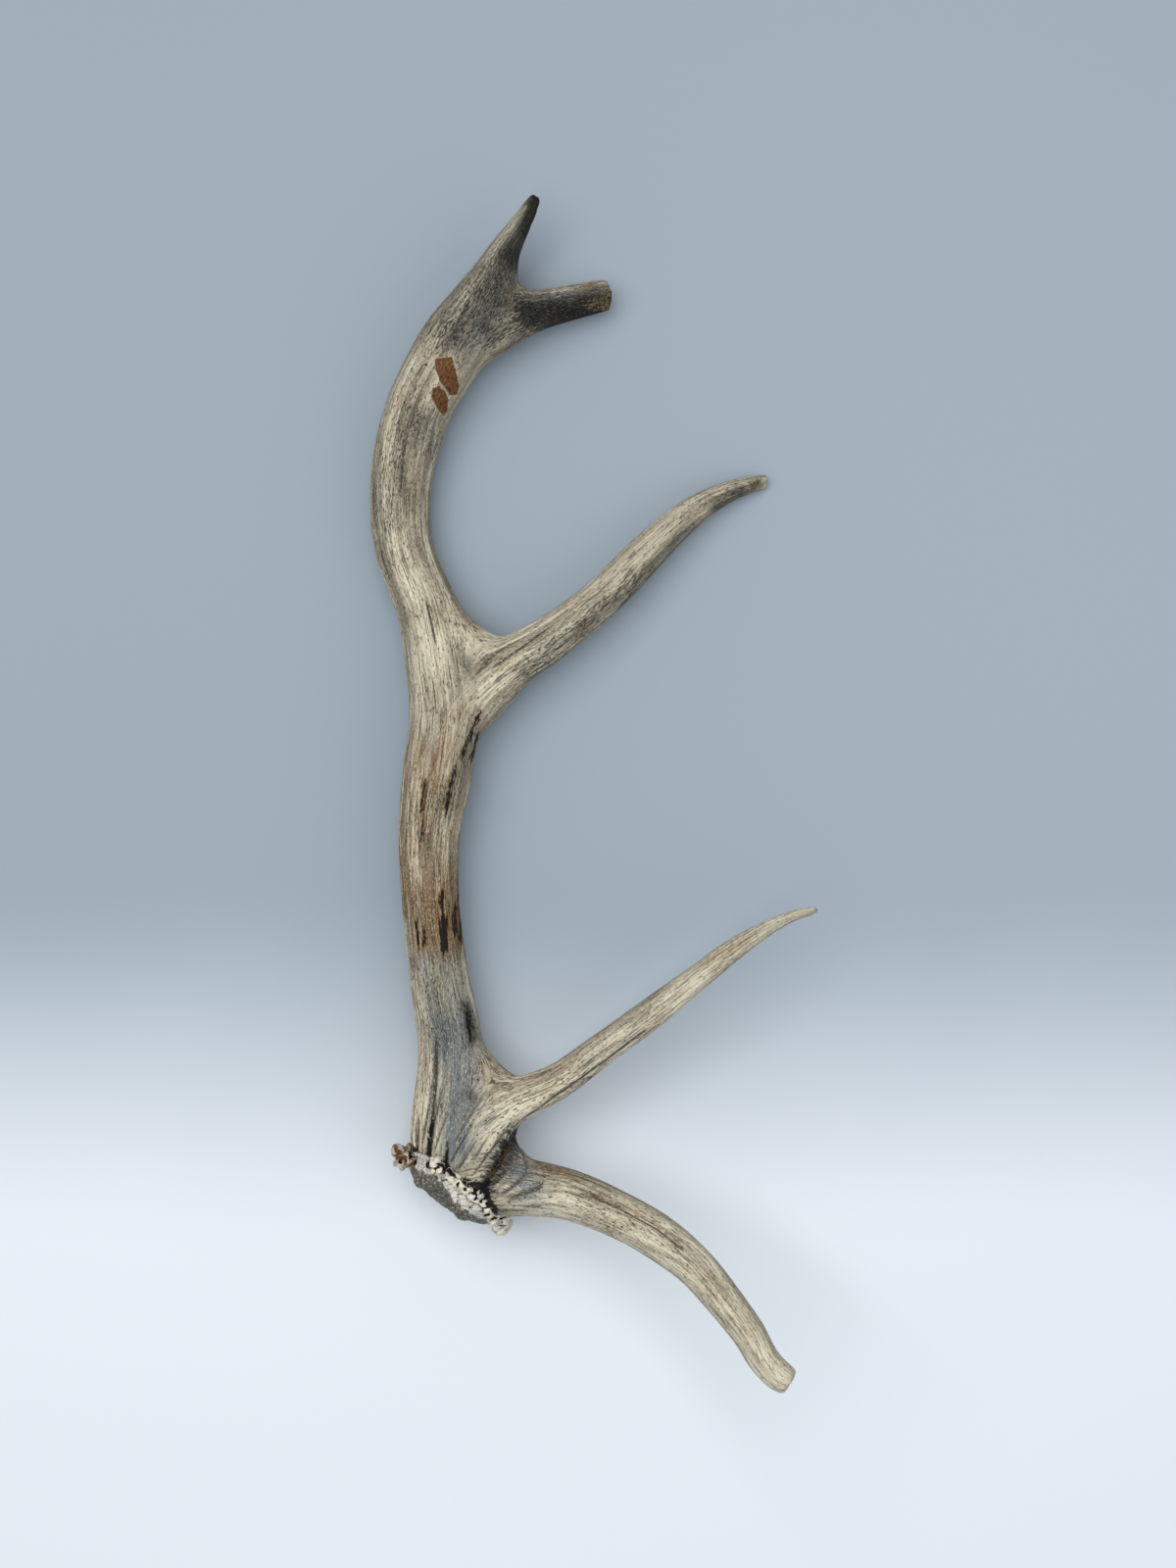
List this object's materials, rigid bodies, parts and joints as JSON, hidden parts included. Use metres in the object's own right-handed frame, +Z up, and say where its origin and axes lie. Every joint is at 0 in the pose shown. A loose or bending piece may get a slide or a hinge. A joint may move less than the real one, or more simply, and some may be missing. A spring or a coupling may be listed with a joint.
{
  "type": "deer antler",
  "caption": "Shed deer antler lying on a surface: a curved beam with a knobbly burr, brow, bez and trez tines and a forked crown.",
  "frame": {"origin": "on the surface the antler lies on, under the middle of its box", "axes": "+Y from the burr to the crown, +X towards the side the tines grow on, +Z up"},
  "size_m": [0.2626, 0.687, 0.1388],
  "materials": {
    "lower_beam": "weathered antler, grooved and speckled, matt",
    "upper_beam": "weathered antler, grooved and speckled, matt",
    "brow_tine": "weathered antler, pale, worn smooth towards the tip",
    "bez_tine": "weathered antler, pale, worn smooth towards the tip",
    "trez_tine": "weathered antler, darker and chipped at the tip",
    "crown_tines": "weathered antler, dark grey, rubbed at the tips"
  },
  "bodies": {
    "root": {"lower_beam": "lower_beam", "upper_beam": "upper_beam", "brow_tine": "brow_tine", "bez_tine": "bez_tine", "trez_tine": "trez_tine", "crown_front_tine": "crown_tines", "crown_rear_tine": "crown_tines"}
  },
  "joints": []
}
